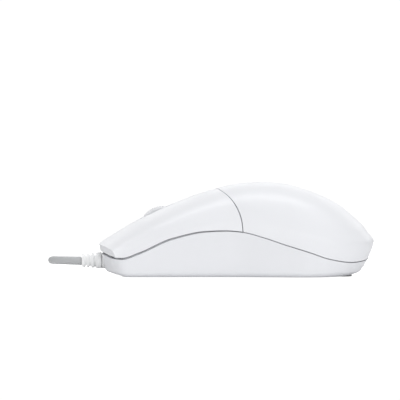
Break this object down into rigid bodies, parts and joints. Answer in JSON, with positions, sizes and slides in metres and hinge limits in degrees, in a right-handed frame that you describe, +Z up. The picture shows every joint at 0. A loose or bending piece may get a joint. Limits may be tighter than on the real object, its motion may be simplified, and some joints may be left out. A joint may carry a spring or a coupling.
{
  "type": "computer mouse",
  "caption": "Wired optical mouse with a split button shell, a rear cover, a scroll wheel, a ribbed strain relief and a coiled cord with its plug",
  "frame": {"origin": "centre of the body's footprint on the surface it rests on, cord, strain relief and plug left out", "axes": "+X runs to the rear (the cord leaves at -X), +Y is the user's right-hand side, +Z is up"},
  "size_m": [0.1363, 0.125, 0.0387],
  "materials": {
    "top_plastic": "fine satin texture, cool white",
    "base_plastic": "fine satin texture, a shade greyer than the top",
    "white_plastic": "plain moulded",
    "bridge_plastic": "plain moulded",
    "tyre_rubber": "fine ribs across the tread",
    "hub_plastic": "moulded",
    "foot_slip_sheet": "smooth low-friction sheet",
    "label_paper": "blank printed label",
    "board_laminate": "solder-masked board",
    "black_plastic": "moulded",
    "red_plastic": "moulded",
    "clear_plastic": "clear moulded",
    "led_resin": "tinted clear resin",
    "plated_steel": "bright plating",
    "plated_contact": "gold plated",
    "capacitor_sleeve": "shrunk sleeve",
    "boot_vinyl": "soft moulded vinyl",
    "cord_vinyl": "soft extruded vinyl",
    "lead_white": "insulation",
    "lead_green": "insulation",
    "lead_red": "insulation",
    "lead_black": "insulation"
  },
  "bodies": {
    "chassis": {"base_shell": "base_plastic", "rear_cover": "top_plastic", "button_hinge_bridge": "bridge_plastic", "front_foot": "foot_slip_sheet", "rear_foot": "foot_slip_sheet", "blank_label": "label_paper", "main_board": "board_laminate", "left_switch_body": "black_plastic", "right_switch_body": "black_plastic", "wheel_switch_body": "black_plastic", "encoder_emitter": "clear_plastic", "encoder_receiver": "black_plastic", "sensor_chip": "black_plastic", "sensor_lens": "clear_plastic", "sensor_led": "led_resin", "led_clip": "black_plastic", "capacitor": "capacitor_sleeve", "board_screw_1": "plated_steel", "board_screw_2": "plated_steel", "case_screw": "plated_steel", "board_socket": "white_plastic", "lead_plug": "white_plastic", "inner_lead_white": "lead_white", "inner_lead_green": "lead_green", "inner_lead_red": "lead_red", "inner_lead_black": "lead_black", "strain_relief": "boot_vinyl", "cord": "cord_vinyl", "cord_coil": "cord_vinyl", "cord_tail": "cord_vinyl", "cable_tie": "white_plastic", "usb_overmould": "boot_vinyl", "usb_shell": "plated_steel", "usb_tongue": "white_plastic", "usb_contact_1": "plated_contact", "usb_contact_2": "plated_contact", "usb_contact_3": "plated_contact", "usb_contact_4": "plated_contact"},
    "left_button": {"left_button": "top_plastic"},
    "right_button": {"right_button": "top_plastic"},
    "wheel_press": {"wheel_carrier": "white_plastic", "detent_spring": "plated_steel"},
    "wheel": {"wheel_hub": "hub_plastic", "wheel_tyre": "tyre_rubber"},
    "left_plunger": {"left_switch_plunger": "red_plastic"},
    "right_plunger": {"right_switch_plunger": "red_plastic"},
    "wheel_plunger": {"wheel_switch_plunger": "white_plastic"}
  },
  "joints": [
    {"name": "left_button_press", "type": "hinge", "parent": "chassis", "child": "left_button", "pos_m": [-0.00517, 0, 0.027], "axis": [0, -1, 0], "range_deg": [0, 0.6], "stiffness_Nm_per_rad": 3},
    {"name": "right_button_press", "type": "hinge", "parent": "chassis", "child": "right_button", "pos_m": [-0.00517, 0, 0.027], "axis": [0, -1, 0], "range_deg": [0, 0.6], "stiffness_Nm_per_rad": 3},
    {"name": "wheel_press", "type": "hinge", "parent": "chassis", "child": "wheel_press", "pos_m": [-0.04428, 0, 0.0135], "axis": [0, 1, 0], "range_deg": [0, 1.8], "stiffness_Nm_per_rad": 1},
    {"name": "wheel_spin", "type": "hinge", "parent": "wheel_press", "child": "wheel", "pos_m": [-0.03071, 0, 0.019], "axis": [0, 1, 0], "continuous": true},
    {"name": "left_plunger_slide", "type": "slide", "parent": "chassis", "child": "left_plunger", "axis": [0, 0, -1], "range_m": [0, 0.0006]},
    {"name": "right_plunger_slide", "type": "slide", "parent": "chassis", "child": "right_plunger", "axis": [0, 0, -1], "range_m": [0, 0.0006]},
    {"name": "wheel_plunger_slide", "type": "slide", "parent": "chassis", "child": "wheel_plunger", "axis": [0, 0, -1], "range_m": [0, 0.0006]}
  ],
  "couplings": [
    {"joint": "left_plunger_slide", "follows": "left_button_press", "m_per_rad": 0.030512},
    {"joint": "right_plunger_slide", "follows": "right_button_press", "m_per_rad": 0.030512},
    {"joint": "wheel_plunger_slide", "follows": "wheel_press", "m_per_rad": 0.01357}
  ]
}
